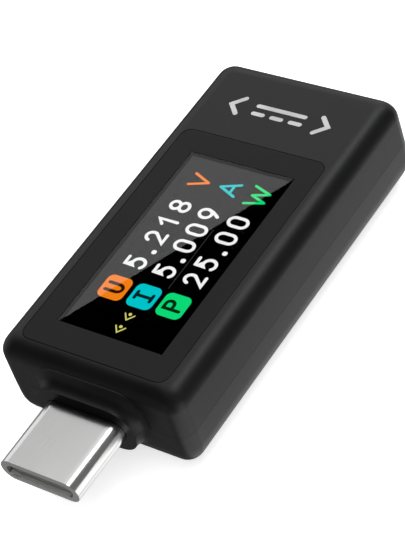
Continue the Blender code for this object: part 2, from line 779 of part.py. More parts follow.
def board_components(look):
    """Everything soldered on the board; places and sizes here are in millimetres."""
    chip("microcontroller", look["chip"], (0.0, 3.0), (4.0, 4.0, 0.8), 8)
    chip("sense_amplifier", look["chip"], (-4.2, -6.2), (2.9, 3.0, 0.9), 4)
    chip("voltage_regulator", look["chip"], (4.4, -5.6), (1.6, 2.9, 1.1), 3)
    chip("backlight_transistor", look["chip"], (5.2, 9.0), (1.3, 2.9, 1.0), 2)
    chip("memory_chip", look["chip"], (-3.6, 5.2), (3.9, 4.9, 1.5), 4, below=True)
    square_part("crystal", look["can"], (-5.3, 3.0), (2.5, 3.2, 0.75))
    square_part("current_shunt", look["shunt"], (0.0, -6.0), (6.3, 3.2, 0.7), below=True)
    square_part("surge_suppressor", look["chip"], (0.0, 11.4), (2.6, 4.2, 1.1), below=True)
    coil_part("power_inductor", look["ferrite"], (4.6, 1.0), 3.4, 1.4)
    for index, place in enumerate(((-1.6, -3.2), (1.6, -3.2), (-3.6, 8.6), (5.3, 4.6))):
        square_part(f"capacitor_{index + 1}", look["capacitor"], place, (1.25, 2.0, 0.9))
    for index, place in enumerate(((5.0, -3.0), (-5.2, 11.0))):
        name = f"capacitor_{index + 5}"
        square_part(name, look["capacitor"], place, (2.5, 3.2, 1.6), below=True)
    for index, place in enumerate(((-1.2, 8.2), (0.8, 8.2), (2.8, 8.2), (3.2, -2.0))):
        square_part(f"resistor_{index + 1}", look["resistor"], place, (0.8, 1.6, 0.45))


# Contact rows


def contact_comb(name, material, side, bar, runs):
    """A row of contacts held by the bar that is moulded round their roots.

    bar is (low y, high y, low z, high z, half width), and each run of the contacts is
    (low y, high y, low z, high z). Heights count from the connector axis, up or down by side.
    """
    *ends, half = bar
    low, high = comb_corners(side, -half, half, ends)
    obj = block(name, low, high)
    for index in range(CONTACT_COUNT):
        x = (index - (CONTACT_COUNT - 1) / 2) * CONTACT_PITCH
        x_low, x_high = x - CONTACT_WIDTH / 2, x + CONTACT_WIDTH / 2
        for number, run in enumerate(runs):
            low, high = comb_corners(side, x_low, x_high, run)
            label = f"{name}_{index + 1}_{number + 1}"
            join(obj, block(label, low, high, collection=cutters))
    return finish(obj, material)


def comb_corners(side, x_low, x_high, ends):
    y_low, y_high, z_near, z_far = ends
    z_low, z_high = sorted((AXIS_Z + side * z_near, AXIS_Z + side * z_far))
    return (x_low, y_low, z_low), (x_high, y_high, z_high)


# Plug


def plug_shell(material):
    """A drawn tube with its front edge turned in, and four tabs that grip the board."""
    shell = tube_solid("plug_shell", PLUG_WIDTH, PLUG_HEIGHT, PLUG_TIP_Y, PLUG_REAR_Y)
    round_edges(shell, PLUG_EDGE_RADIUS)
    inner = tube_solid(
        "plug_shell_inside",
        PLUG_WIDTH - 2 * PLUG_WALL,
        PLUG_HEIGHT - 2 * PLUG_WALL,
        PLUG_TIP_Y + PLUG_LIP,
        PLUG_REAR_Y + CUTTER_OVERRUN,
        collection=cutters,
    )
    mouth = tube_solid(
        "plug_shell_mouth",
        PLUG_MOUTH_WIDTH,
        PLUG_MOUTH_HEIGHT,
        PLUG_TIP_Y - CUTTER_OVERRUN,
        PLUG_TIP_Y + CUTTER_OVERRUN,
        collection=cutters,
    )
    cut(shell, inner, mouth)
    for side in (-1, 1):
        for level in (-1, 1):
            x_ends = sorted(side * x for x in PLUG_TAB_X)
            z_ends = sorted(AXIS_Z + level * z for z in PLUG_TAB_Z)
            low = (x_ends[0], PLUG_REAR_Y - ROOT_OVERLAP, z_ends[0])
            high = (x_ends[1], BOARD_NEAR_Y + PLUG_TAB_LENGTH, z_ends[1])
            join(shell, block(f"plug_tab_{side}_{level}", low, high, collection=cutters))
    return finish(shell, material, TUBE_SMOOTH_ANGLE)


def plug_insulator(material):
    """The plastic core of the plug, hollow for the tongue, with a side slot for each latch."""
    gap = CORE_GAP
    front_y = PLUG_TIP_Y + PLUG_LIP + 2 * gap
    width = PLUG_WIDTH - 2 * (PLUG_WALL + gap)
    height = PLUG_HEIGHT - 2 * (PLUG_WALL + gap)
    core = tube_solid("plug_insulator", width, height, front_y, CORE_REAR_Y)
    low = (-PLUG_CAVITY_WIDTH / 2, front_y - CUTTER_OVERRUN, AXIS_Z - PLUG_CAVITY_HEIGHT / 2)
    high = (PLUG_CAVITY_WIDTH / 2, CORE_REAR_Y + CUTTER_OVERRUN, AXIS_Z + PLUG_CAVITY_HEIGHT / 2)
    cut(core, block("tongue_space", low, high, collection=cutters))
    slot_half = LATCH_HEIGHT / 2 + LATCH_CLEARANCE
    low = (-PLUG_WIDTH, LATCH_TIP_Y - LATCH_CLEARANCE, AXIS_Z - slot_half)
    high = (PLUG_WIDTH, LATCH_ROOT_Y + LATCH_CLEARANCE, AXIS_Z + slot_half)
    cut(core, block("latch_slots", low, high, collection=cutters))
    for side in (-1, 1):
        pocket_z = sorted(AXIS_Z + side * z for z in (GROUND_SPRING_Z[0] - FIT_GAP, PLUG_HEIGHT))
        low = (-GROUND_SPRING_X - gap, GROUND_SPRING_Y[0] - gap, pocket_z[0])
        high = (GROUND_SPRING_X + gap, GROUND_SPRING_Y[1] + gap, pocket_z[1])
        cut(core, block(f"spring_pocket_{side}", low, high, collection=cutters))
    return finish(core, material, TUBE_SMOOTH_ANGLE)


def plug_latch(name, side, material):
    """A leaf spring with a hook at its free end; its origin is where it bends."""
    half = LATCH_HEIGHT / 2
    root = side * (LATCH_INNER_X + LATCH_THICKNESS / 2)
    bend = Vector((root, LATCH_ROOT_Y - LATCH_BEND_FROM_ROOT, AXIS_Z))
    x_ends = sorted((side * LATCH_INNER_X, side * (LATCH_INNER_X + LATCH_THICKNESS)))
    low = Vector((x_ends[0], LATCH_TIP_Y, AXIS_Z - half)) - bend
    high = Vector((x_ends[1], LATCH_ROOT_Y, AXIS_Z + half)) - bend
    leaf = block(name, low, high)
    leaf.location = bend
    tip = side * (LATCH_INNER_X - LATCH_HOOK_REACH)
    start = LATCH_TIP_Y + LATCH_HOOK_SETBACK
    flat_start, flat_end = (start + share * LATCH_HOOK_LENGTH for share in LATCH_HOOK_FLAT)
    outline = (
        (root, start),
        (tip, flat_start),
        (tip, flat_end),
        (root, start + LATCH_HOOK_LENGTH),
    )
    hook_height = LATCH_HOOK_SHARE * LATCH_HEIGHT
    place = Matrix.Translation((0, 0, AXIS_Z))
    join(leaf, flat_solid(name + "_hook", outline, hook_height, place, cutters))
    return finish(leaf, material)


def ground_spring(name, side, material):
    """A thin plate over the mouth of the plug's core that earths the socket's shell."""
    z_ends = sorted(AXIS_Z + side * z for z in GROUND_SPRING_Z)
    low = (-GROUND_SPRING_X, GROUND_SPRING_Y[0], z_ends[0])
    high = (GROUND_SPRING_X, GROUND_SPRING_Y[1], z_ends[1])
    return finish(block(name, low, high), material)


def plug_contacts(material):
    """Two rows of spring contacts; each bar sits in the core behind the tongue space."""
    half = PLUG_CAVITY_WIDTH / 2 - 2 * FIT_GAP
    bar = (PLUG_WAFER_Y, CORE_REAR_Y, FIT_GAP, CONTACT_BAR_HALF_HEIGHT, half)
    beam = (*PLUG_BEAM_Y, *PLUG_BEAM_Z)
    for name, side in (("plug_contacts_upper", 1), ("plug_contacts_lower", -1)):
        contact_comb(name, material, side, bar, (beam,))


# Receptacle


def receptacle_shell(material):
    """A stamped steel tube round the socket, with four wings that rest on the board."""
    width = SOCKET_INNER_WIDTH + 2 * SOCKET_WALL
    height = SOCKET_INNER_HEIGHT + 2 * SOCKET_WALL
    shell = tube_solid("receptacle_shell", width, height, SOCKET_REAR_Y, SOCKET_MOUTH_Y)
    round_edges(shell, SOCKET_EDGE_BEVEL, 1)
    inside = tube_solid(
        "receptacle_inside",
        SOCKET_INNER_WIDTH,
        SOCKET_INNER_HEIGHT,
        SOCKET_REAR_Y - CUTTER_OVERRUN,
        SOCKET_MOUTH_Y + CUTTER_OVERRUN,
        collection=cutters,
    )
    cut(shell, inside)
    for side in (-1, 1):
        for y in WING_Y:
            x_ends = sorted(side * x for x in WING_X)
            z_low = BOARD_TOP_Z + SOLDER_GAP
            low = (x_ends[0], y, z_low)
            high = (x_ends[1], y + WING_LENGTH, z_low + WING_THICKNESS)
            label = f"wing_{side}_{round(y / MM)}"
            join(shell, block(label, low, high, collection=cutters))
    return finish(shell, material, TUBE_SMOOTH_ANGLE)


def receptacle_body(material):
    """The plastic block at the back of the socket, which holds the tongue's layers."""
    gap = SOCKET_BODY_GAP
    body = tube_solid(
        "receptacle_body",
        SOCKET_INNER_WIDTH - 2 * gap,
        SOCKET_INNER_HEIGHT - 2 * gap,
        SOCKET_REAR_Y + gap,
        SOCKET_BODY_FRONT_Y,
    )
    half = TONGUE_WIDTH / 2 + gap
    seat = TONGUE_SEAT_HALF_HEIGHT
    low = (-half, SOCKET_REAR_Y - CUTTER_OVERRUN, AXIS_Z - seat)
    high = (half, SOCKET_BODY_FRONT_Y + CUTTER_OVERRUN, AXIS_Z + seat)
    cut(body, block("tongue_seat", low, high, collection=cutters))
    return finish(body, material, TUBE_SMOOTH_ANGLE)


def tongue_layers(plastic, steel, gold):
    """The tongue: a steel mid plate between two plastic wafers, each with its contacts."""
    half = TONGUE_WIDTH / 2
    bar_half = half - MID_PLATE_INSET
    rear_y = SOCKET_REAR_Y + FIT_GAP
    plate_half = MID_PLATE_THICKNESS / 2
    wafer_face = TONGUE_THICKNESS / 2 - BLADE_RECESS
    finish(mid_plate(bar_half, rear_y, plate_half), steel)
    bar_end = SOCKET_BODY_FRONT_Y - MID_PLATE_INSET
    face = wafer_face + LAYER_GAP
    bar = (rear_y, bar_end, face, CONTACT_BAR_HALF_HEIGHT, bar_half)
    blade_ends = (bar_end - BLADE_OVERLAP, TONGUE_TIP_Y - BLADE_SETBACK)
    blade = (*blade_ends, face, face + BLADE_THICKNESS)
    tail_z = BOARD_THICKNESS / 2 + SOLDER_GAP
    tail_ends = (SOCKET_REAR_Y - TAIL_LENGTH, rear_y + BLADE_OVERLAP)
    tail = (*tail_ends, tail_z, tail_z + TAIL_THICKNESS)
    for level, side in (("upper", 1), ("lower", -1)):
        z_ends = sorted(AXIS_Z + side * z for z in (plate_half + LAYER_GAP, wafer_face))
        low, high = (-half, rear_y, z_ends[0]), (half, TONGUE_TIP_Y, z_ends[1])
        wafer = block(f"receptacle_tongue_{level}", low, high, TONGUE_BEVEL, 1)
        finish(wafer, plastic)
        contact_comb(f"receptacle_contacts_{level}", gold, side, bar, (blade, tail))


def mid_plate(half_width, rear_y, half_thickness):
    """The steel plate, with a notch in each side for the other plug's latches."""
    low = (-half_width, rear_y, AXIS_Z - half_thickness)
    high = (half_width, TONGUE_TIP_Y - MID_PLATE_SETBACK, AXIS_Z + half_thickness)
    plate = block("receptacle_mid_plate", low, high)
    notch_x = (TONGUE_WIDTH / 2 - MID_PLATE_NOTCH_DEPTH, TONGUE_WIDTH)
    for side in (-1, 1):
        x_ends = sorted(side * x for x in notch_x)
        low = (x_ends[0], MID_PLATE_NOTCH_Y[0], AXIS_Z - CUTTER_OVERRUN)
        high = (x_ends[1], MID_PLATE_NOTCH_Y[1], AXIS_Z + CUTTER_OVERRUN)
        cut(plate, block(f"latch_notch_{side}", low, high, collection=cutters))
    return plate


def build():
    global parts, cutters
    clear_scene()
    parts = new_collection("usb_power_meter")
    cutters = new_collection("cutters")
    cutters.hide_render = True

    housing = plain_material("housing_plastic", (0.035, 0.035, 0.036), 0.5)
    panel = plain_material("panel_plastic", (0.025, 0.025, 0.026), 0.45)
    steel = plain_material("plated_steel", (0.78, 0.78, 0.77), 0.28, 1.0)
    spring = plain_material("spring_steel", (0.62, 0.62, 0.60), 0.35, 1.0)
    gold = plain_material("contact_gold", (0.83, 0.62, 0.28), 0.3, 1.0)
    insulator = plain_material("insulator_plastic", (0.02, 0.02, 0.02), 0.5)

    plug_slot, socket_mouth = connector_openings()
    top_shell(housing, plug_slot, socket_mouth)
    bottom_shell(housing, plug_slot, socket_mouth)

    front_panel(panel)
    display_window(plain_material("window_glass", (0.9, 0.9, 0.9), 0.03, 0.0, 1.0))
    panel_tape(plain_material("adhesive_tape", (0.02, 0.02, 0.02), 0.7))
    lcd_cell(plain_material("lcd_glass", (0.01, 0.01, 0.012), 0.1))
    tray = plain_material("tray_plastic", (0.8, 0.8, 0.78), 0.5)
    guide = plain_material("guide_acrylic", (0.9, 0.92, 0.92), 0.1, 0.0, 1.0)
    backlight(tray, guide)
    lcd_flex(plain_material("flex_film", (0.55, 0.27, 0.06), 0.4))

    main_board(plain_material("board_laminate", (0.02, 0.12, 0.06), 0.45))
    board_components(
        {
            "chip": plain_material("chip_epoxy", (0.03, 0.03, 0.032), 0.6),
            "can": plain_material("crystal_can", (0.75, 0.75, 0.74), 0.3, 1.0),
            "shunt": plain_material("shunt_alloy", (0.6, 0.58, 0.55), 0.4, 1.0),
            "ferrite": plain_material("ferrite", (0.06, 0.06, 0.065), 0.7),
            "capacitor": plain_material("capacitor_ceramic", (0.45, 0.33, 0.2), 0.5),
            "resistor": plain_material("resistor_ceramic", (0.03, 0.03, 0.03), 0.4),
        }
    )

    plug_shell(steel)
    plug_insulator(insulator)
    plug_contacts(gold)
    plug_latch("plug_latch_left", -1, spring)
    plug_latch("plug_latch_right", 1, spring)
    ground_spring("plug_ground_spring_upper", 1, spring)
    ground_spring("plug_ground_spring_lower", -1, spring)

    receptacle_shell(steel)
    receptacle_body(insulator)
    tongue_layers(insulator, spring, gold)


build()
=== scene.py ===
"""Looks of the USB-C power meter: finishes, display graphics, printed mark, studio and camera.

Frame: +Z up out of the display, +Y from the plug towards the receptacle, +X across, in metres.
"""

import json
import math

import bmesh
import bpy
from mathutils import Matrix, Vector


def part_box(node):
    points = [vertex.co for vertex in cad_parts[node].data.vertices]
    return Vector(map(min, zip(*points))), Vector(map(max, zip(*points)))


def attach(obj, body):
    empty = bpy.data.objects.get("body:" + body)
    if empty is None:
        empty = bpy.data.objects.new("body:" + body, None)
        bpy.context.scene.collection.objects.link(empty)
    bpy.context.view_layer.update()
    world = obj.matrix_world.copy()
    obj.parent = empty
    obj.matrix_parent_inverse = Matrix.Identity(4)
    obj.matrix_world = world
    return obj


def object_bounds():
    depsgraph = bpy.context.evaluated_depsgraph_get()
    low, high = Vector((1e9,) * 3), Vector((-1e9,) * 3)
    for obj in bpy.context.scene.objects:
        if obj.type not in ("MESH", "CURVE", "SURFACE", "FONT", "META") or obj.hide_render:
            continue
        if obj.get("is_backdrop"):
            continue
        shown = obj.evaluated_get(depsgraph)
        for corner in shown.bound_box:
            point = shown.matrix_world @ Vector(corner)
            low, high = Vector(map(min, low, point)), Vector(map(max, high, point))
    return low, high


MM = 0.001
X_AXIS = Vector((1.0, 0.0, 0.0))
Y_AXIS = Vector((0.0, 1.0, 0.0))

# Camera
SENSOR_HEIGHT_MM = 24.0
LENS_MM = 92.51
CLIP_START = 0.01  # metres
CLIP_END = 20.0
CAMERA_AZIMUTH = math.radians(47.07)
CAMERA_ELEVATION = math.radians(43.98)
CAMERA_ROLL = math.radians(-19.81)
CAMERA_DISTANCE = 182.99 * MM
CAMERA_TARGET = Vector((0.31, 1.93, 5.0)) * MM

# Graphics on the display. The rows lie side by side across X, and each one reads along +Y.
ROW_PITCH = 3.11 * MM
MIDDLE_ROW_X = 0.235 * MM
DIVIDER_X = 1.77 * MM
INK_THICKNESS = 0.02 * MM
PIXEL_GAP = 0.005 * MM  # between the display's glass and the ink that stands for its lit pixels

# In millimetres within a row, measured along it (Y) and up its letters (height, drop)
DIGITS_DROP = 0.09
DIGIT_WIDTH = 1.03
DIGIT_HEIGHT = 1.89
DIGIT_STROKE = 0.31
DIGIT_PITCH = 2.0
DIGITS_START_Y = -3.29
POINT_PITCH = 1.15
POINT_SIZE = 0.46
POINT_CORNER = 0.16
POINT_RISE = 0.06
UNIT_Y = 8.19
UNIT_HEIGHT = 1.8
UNIT_STROKE = 0.26
BADGE_Y = -5.46
BADGE_SIZE = 2.6
BADGE_CORNER = 0.6
BADGE_LETTER_HEIGHT = 1.6
BADGE_LETTER_STROKE = 0.33
FLOW_MARK_TIPS = (-9.71, -8.25)
FLOW_ARM_LENGTH = 0.64
FLOW_ARM_SPREAD = 0.5
FLOW_STROKE = 0.12
FLOW_DOT_OFFSET = 0.66
FLOW_DOT_RADIUS = 0.16
DIVIDER_ENDS = (-3.9, 3.4)
DIVIDER_STROKE = 0.07

# Printed mark: its place, then its sizes in millimetres about its middle
MARK_Y = 17.55 * MM
MARK_HALF_WIDTH = 5.2
MARK_HALF_HEIGHT = 1.02
MARK_BAR = 5.0
MARK_BAR_RISE = 0.5
MARK_DASH = MARK_BAR / 5
MARK_STROKE = 0.46

# Smoothing of the CAD nodes' faces
CREASE = math.radians(32)
WELD_DISTANCE = 1e-7
FLAT_FACE_WEIGHT = 80

# Noise textures keep mostly within these two values.
NOISE_LOW = 0.3
NOISE_HIGH = 0.7

# Studio, in metres unless it says otherwise

# The two soft boxes that the display mirrors, with a dark gap between them. They stand
# GLARE_DISTANCE from it, reach from GLARE_START to GLARE_STOP along the gap, measured from its
# middle, and are GLARE_WIDTH wide. The first box's edge is mirrored from the display's near corner
# to its far corner, each moved by its inset. GAP_SHARE widens the gap.
GLARE_RADIANCE = 0.88
OVERHEAD_RADIANCE = 0.78
GLARE_DISTANCE = 1.0
GLARE_START = -0.36
GLARE_STOP = 1.0
GLARE_WIDTH = 0.8
GLARE_NEAR_INSET = Vector((0.15, 0.05, 0.0)) * MM
GLARE_FAR_INSET = Vector((0.0, 0.1, 0.0)) * MM
GAP_SHARE = 1.08

STRIP_RADIANCE = 2.65
STRIP_CENTRE = Vector((0.19, 0.52, 0.86))
STRIP_ALONG = Vector((0.0, 1.0, -0.4))
STRIP_LENGTH = 0.8
STRIP_WIDTH = 0.38

FILL_RADIANCE = 1.1
FILL_CENTRE = Vector((0.1, -0.1, 1.6))
FILL_SIZE = 3.0

# Where the surroundings are lit: a direction, then pairs of the cosine of the angle from it and
# the grey there
WORLD_STRENGTH = 1.5
SIDE_STOPS = ((0.84, 0.0), (0.97, 0.34))
WORLD_LOBES = (
    ((0.0, -1.0, 0.0), ((0.84, 0.0), (0.97, 0.2))),
    ((0.96, -0.28, 0.0), SIDE_STOPS),
    ((0.0, 1.0, 0.0), SIDE_STOPS),
    ((-1.0, 0.0, 0.0), SIDE_STOPS),
    ((0.95, 0.0, 0.3), ((0.3, 0.0), (0.75, 0.09))),
    ((-0.4, -0.5, -0.77), ((0.3, 0.0), (0.8, 0.15))),
    ((0.2, 0.65, -0.73), ((0.7, 0.0), (0.84, 0.45), (0.92, 0.55), (1.0, 1.0))),
)

FLOOR_HALF_SIZE = 3.0
FLOOR_CELLS = 8
FLOOR_GLOW = 0.7
FLOOR_GREYS = ((0.9, 0.9, 0.9, 1.0), (0.92, 0.92, 0.92, 1.0))
FLOOR_ROUGHNESS = 0.9
FLOOR_SPECULAR = 0.1
FLOOR_GRAIN = 200 * MM

# The bent card, in millimetres: x, height above the table, and the y of its two ends there
CARD_GLOW = 1.2
CARD_PROFILE = ((9.0, 0.02, -22.0, -13.5), (24.0, 0.02, -22.0, -9.0), (24.0, 8.5, -22.0, -9.5))

# Colours of the display's pixels and the studio
BLACK = (0.0, 0.0, 0.0)
ORANGE = (1.0, 0.24, 0.008)
CYAN = (0.0, 0.62, 0.66)
GREEN = (0.004, 0.78, 0.2)
WHITE = (1.0, 1.0, 1.0)
PALE_YELLOW = (0.72, 0.70, 0.17)
DIM_GREY = (0.03, 0.03, 0.035)
LETTER_SHADE = 0.03  # of the badge's colour

# Name, figures, badge's letter and its width, unit and its width (in mm), colour
DISPLAY_ROWS = (
    ("voltage", "5.218", "U", 0.84, "V", 1.42, ORANGE),
    ("current", "5.009", "I", 0.72, "A", 1.46, CYAN),
    ("power", "25.00", "P", 0.86, "W", 2.2, GREEN),
)

# Numbers the looks share. A shade is a share of a colour.
BROAD_GRAINS = 40  # width of a shift in colour, in grains
PIXEL_CELL = 0.12 * MM
PIXEL_EDGE_SHADE = 0.96
PIXEL_ROUGHNESS = 0.4
HAZE_GRAIN = 2.0 * MM
HAZE_SHADE = 0.985
CERAMIC_GRAIN = 0.15 * MM
CERAMIC_DEPTH = 0.004 * MM
CERAMIC_SHADES = (0.85, 1.1)
BLACK_PLASTIC = (0.004, 0.004, 0.0042)
BRUSHED_ALONG_Y = (1.0, 0.06, 1.0)

# Looks of the record's material slots. grain is the width of the lumps in the surface and depth
# their height; variation is a share of the colour.
GRAINED_LOOKS = {
    "housing_plastic": {
        "color": BLACK_PLASTIC,
        "roughness": 0.44,
        "grain": 0.11 * MM,
        "depth": 0.0016 * MM,
        "specular": 0.43,
    },
    "panel_plastic": {
        "color": BLACK_PLASTIC,
        "roughness": 0.4,
        "grain": 0.07 * MM,
        "depth": 0.0008 * MM,
        "specular": 0.23,
    },
    "adhesive_tape": {
        "color": (0.012, 0.012, 0.012),
        "roughness": 0.7,
        "grain": 0.2 * MM,
        "depth": 0.01 * MM,
    },
    "lcd_glass": {
        "color": (0.0008, 0.0008, 0.001),
        "roughness": 0.4,
        "grain": 1.0 * MM,
        "depth": 0.0,
        "specular": 0.0,
    },
    "tray_plastic": {
        "color": (0.72, 0.72, 0.7),
        "roughness": 0.5,
        "grain": 0.12 * MM,
        "depth": 0.002 * MM,
    },
    "flex_film": {
        "color": (0.5, 0.22, 0.04),
        "roughness": 0.35,
        "grain": 0.25 * MM,
        "depth": 0.004 * MM,
        "stretch": (4.0, 0.3, 1.0),
    },
    "chip_epoxy": {
        "color": (0.022, 0.022, 0.024),
        "roughness": 0.6,
        "grain": 0.09 * MM,
        "depth": 0.004 * MM,
    },
    "crystal_can": {
        "color": (0.75, 0.75, 0.73),
        "roughness": 0.3,
        "grain": 0.1 * MM,
        "depth": 0.001 * MM,
        "variation": 0.05,
        "metallic": 1.0,
    },
    "ferrite": {
        "color": (0.05, 0.05, 0.055),
        "roughness": 0.75,
        "grain": 0.15 * MM,
        "depth": 0.01 * MM,
    },
    "plated_steel": {
        "color": (0.86, 0.86, 0.855),
        "roughness": 0.2,
        "grain": 0.12 * MM,
        "depth": 0.0002 * MM,
        "variation": 0.01,
        "roughness_spread": 0.02,
        "metallic": 1.0,
        "stretch": BRUSHED_ALONG_Y,
    },
    "spring_steel": {
        "color": (0.60, 0.60, 0.58),
        "roughness": 0.32,
        "grain": 0.08 * MM,
        "depth": 0.0008 * MM,
        "variation": 0.05,
        "metallic": 1.0,
        "stretch": BRUSHED_ALONG_Y,
    },
    "contact_gold": {
        "color": (0.90, 0.62, 0.24),
        "roughness": 0.28,
        "grain": 0.08 * MM,
        "depth": 0.0006 * MM,
        "variation": 0.06,
        "metallic": 1.0,
    },
    "insulator_plastic": {
        "color": (0.5, 0.5, 0.49),
        "roughness": 0.5,
        "grain": 0.1 * MM,
        "depth": 0.002 * MM,
    },
}
CLEAR_LOOKS = {
    "window_glass": {"tint": (0.98, 0.985, 0.985), "roughness": 0.0, "ior": 1.45},
    "guide_acrylic": {"tint": (0.95, 0.97, 0.97), "roughness": 0.05, "ior": 1.49},
}
END_CAPPED_LOOKS = {
    "shunt_alloy": {"color": (0.10, 0.09, 0.085), "roughness": 0.45, "cap_share": 0.2},
    "capacitor_ceramic": {"color": (0.36, 0.24, 0.13), "roughness": 0.5, "cap_share": 0.22},
    "resistor_ceramic": {"color": (0.02, 0.02, 0.021), "roughness": 0.4, "cap_share": 0.2},
}
PRINT_LOOK = {
    "color": (0.56, 0.56, 0.57),
    "roughness": 0.6,
    "grain": 0.08 * MM,
    "depth": 0.001 * MM,
}
TIN = (0.72, 0.71, 0.68)
MASK_GREEN = (0.01, 0.11, 0.05)
TRACK_GREEN = (0.03, 0.2, 0.09)
# The tracks are the gaps in a pattern of bricks
TRACK_BRICKS = {"Scale": 900.0, "Mortar Size": 0.03, "Brick Width": 1.2}
TRACK_BRICK_SHIFT = 0.37
TRACK_DEPTH = 0.02 * MM
WEAVE_GRAIN = 0.2 * MM
WEAVE_ROUGHNESS = (0.3, 0.42)

# Node helpers


def new_material(name):
    material = bpy.data.materials.new(name)
    material.use_nodes = True
    return material


def add_node(owner, kind, inputs=None, **settings):
    """A node of a material or world; an input is a constant or another node's output."""
    node = owner.node_tree.nodes.new(kind)
    for key, value in settings.items():
        setattr(node, key, value)
    for key, value in (inputs or {}).items():
        connect(owner, value, node.inputs[key])
    return node


def connect(owner, value, socket):
    """Links another node's output to the socket, or sets it to a constant."""
    if isinstance(value, bpy.types.NodeSocket):
        owner.node_tree.links.new(value, socket)
    else:
        socket.default_value = value


def shader_of(material):
    return material.node_tree.nodes["Principled BSDF"]


def rgba(color, factor=1.0):
    return (*(min(1.0, channel * factor) for channel in color), 1.0)


def object_coordinates(material, stretch=(1.0, 1.0, 1.0)):
    source = add_node(material, "ShaderNodeTexCoord").outputs["Object"]
    mapping = add_node(material, "ShaderNodeMapping", {"Vector": source, "Scale": stretch})
    return mapping.outputs["Vector"]


def noise(material, grain, detail=2.0, stretch=(1.0, 1.0, 1.0)):
    """Noise whose lumps are about grain across, in metres."""
    place = object_coordinates(material, stretch)
    inputs = {"Vector": place, "Scale": 1.0 / grain, "Detail": detail}
    return add_node(material, "ShaderNodeTexNoise", inputs).outputs["Fac"]


def ramp(material, value, low, high):
    """A noise value, mapped to the colours low..high."""
    node = add_node(material, "ShaderNodeValToRGB", {"Fac": value})
    node.color_ramp.elements[0].position = NOISE_LOW
    node.color_ramp.elements[1].position = NOISE_HIGH
    node.color_ramp.elements[0].color = low
    node.color_ramp.elements[1].color = high
    return node.outputs["Color"]


def spread(material, value, low, high):
    """A noise value, mapped to the numbers low..high."""
    inputs = {"Value": value, "From Min": NOISE_LOW, "From Max": NOISE_HIGH}
    inputs |= {"To Min": low, "To Max": high}
    return add_node(material, "ShaderNodeMapRange", inputs).outputs["Result"]


def math_node(material, operation, *values):
    inputs = dict(enumerate(values))
    return add_node(material, "ShaderNodeMath", inputs, operation=operation).outputs[0]


def relief(material, height, depth):
    inputs = {"Height": height, "Distance": depth, "Strength": 1.0}
    return add_node(material, "ShaderNodeBump", inputs).outputs["Normal"]


# Finishes


def grained(
    name,
    color,
    roughness,
    grain,
    depth,
    variation=0.12,
    roughness_spread=0.06,
    metallic=0.0,
    specular=0.5,
    stretch=(1.0, 1.0, 1.0),
):
    """A surface with a fine grain in its relief and roughness, and broad shifts in its colour."""
    material = new_material(name)
    shader = shader_of(material)
    fine = noise(material, grain, detail=3.0, stretch=stretch)
    broad = noise(material, BROAD_GRAINS * grain)
    low, high = rgba(color, 1 - variation), rgba(color, 1 + variation)
    connect(material, ramp(material, broad, low, high), shader.inputs["Base Color"])
    low, high = roughness - roughness_spread, roughness + roughness_spread
    connect(material, spread(material, fine, low, high), shader.inputs["Roughness"])
    connect(material, relief(material, fine, depth), shader.inputs["Normal"])
    shader.inputs["Metallic"].default_value = metallic
    shader.inputs["Specular IOR Level"].default_value = specular
    return material


def glowing(name, color):
    """Lit pixels: the colour falls off a little between the cells of the display."""
    material = new_material(name)
    shader = shader_of(material)
    cells = noise(material, PIXEL_CELL, detail=1.0)
    light = ramp(material, cells, rgba(color, PIXEL_EDGE_SHADE), rgba(color))
    connect(material, light, shader.inputs["Emission Color"])
    shader.inputs["Base Color"].default_value = rgba(BLACK)
    shader.inputs["Emission Strength"].default_value = 1.0
    shader.inputs["Roughness"].default_value = PIXEL_ROUGHNESS
    shader.inputs["Specular IOR Level"].default_value = 0.0
    return material


def clear_pane(name, tint, roughness, ior):
    material = new_material(name)
    shader = shader_of(material)
    haze = noise(material, HAZE_GRAIN)
    color = ramp(material, haze, rgba(tint, HAZE_SHADE), rgba(tint))
    connect(material, color, shader.inputs["Base Color"])
    shader.inputs["Transmission Weight"].default_value = 1.0
    shader.inputs["Roughness"].default_value = roughness
    shader.inputs["IOR"].default_value = ior
    return material


def end_capped(name, color, roughness, cap_share):
    """A block whose two ends along Y are tinned, each over cap_share of its length."""
    material = new_material(name)
    shader = shader_of(material)
    place = add_node(material, "ShaderNodeTexCoord").outputs["Generated"]
    along = add_node(material, "ShaderNodeSeparateXYZ", {"Vector": place}).outputs["Y"]
    offset = math_node(material, "SUBTRACT", along, 0.5)
    distance = math_node(material, "ABSOLUTE", offset)
    cap = math_node(material, "GREATER_THAN", distance, 0.5 - cap_share)
    grain = noise(material, CERAMIC_GRAIN, detail=3.0)
    dark, light = CERAMIC_SHADES
    body = ramp(material, grain, rgba(color, dark), rgba(color, light))
    mix = add_node(material, "ShaderNodeMix", data_type="RGBA")
    connect(material, cap, mix.inputs["Factor"])
    connect(material, body, mix.inputs["A"])
    mix.inputs["B"].default_value = rgba(TIN)
    connect(material, mix.outputs["Result"], shader.inputs["Base Color"])
    connect(material, cap, shader.inputs["Metallic"])
    connect(material, relief(material, grain, CERAMIC_DEPTH), shader.inputs["Normal"])
    shader.inputs["Roughness"].default_value = roughness
    return material


def solder_mask(name):
    """Green mask over copper tracks, which show as a slightly lighter, raised pattern."""
    material = new_material(name)
    shader = shader_of(material)
    inputs = {"Vector": object_coordinates(material), **TRACK_BRICKS}
    bricks = add_node(material, "ShaderNodeTexBrick", inputs, offset=TRACK_BRICK_SHIFT)
    tracks = bricks.outputs["Fac"]
    color = ramp(material, tracks, rgba(MASK_GREEN), rgba(TRACK_GREEN))
    connect(material, color, shader.inputs["Base Color"])
    weave = noise(material, WEAVE_GRAIN)
    connect(material, spread(material, weave, *WEAVE_ROUGHNESS), shader.inputs["Roughness"])
    connect(material, relief(material, tracks, TRACK_DEPTH), shader.inputs["Normal"])
    return material


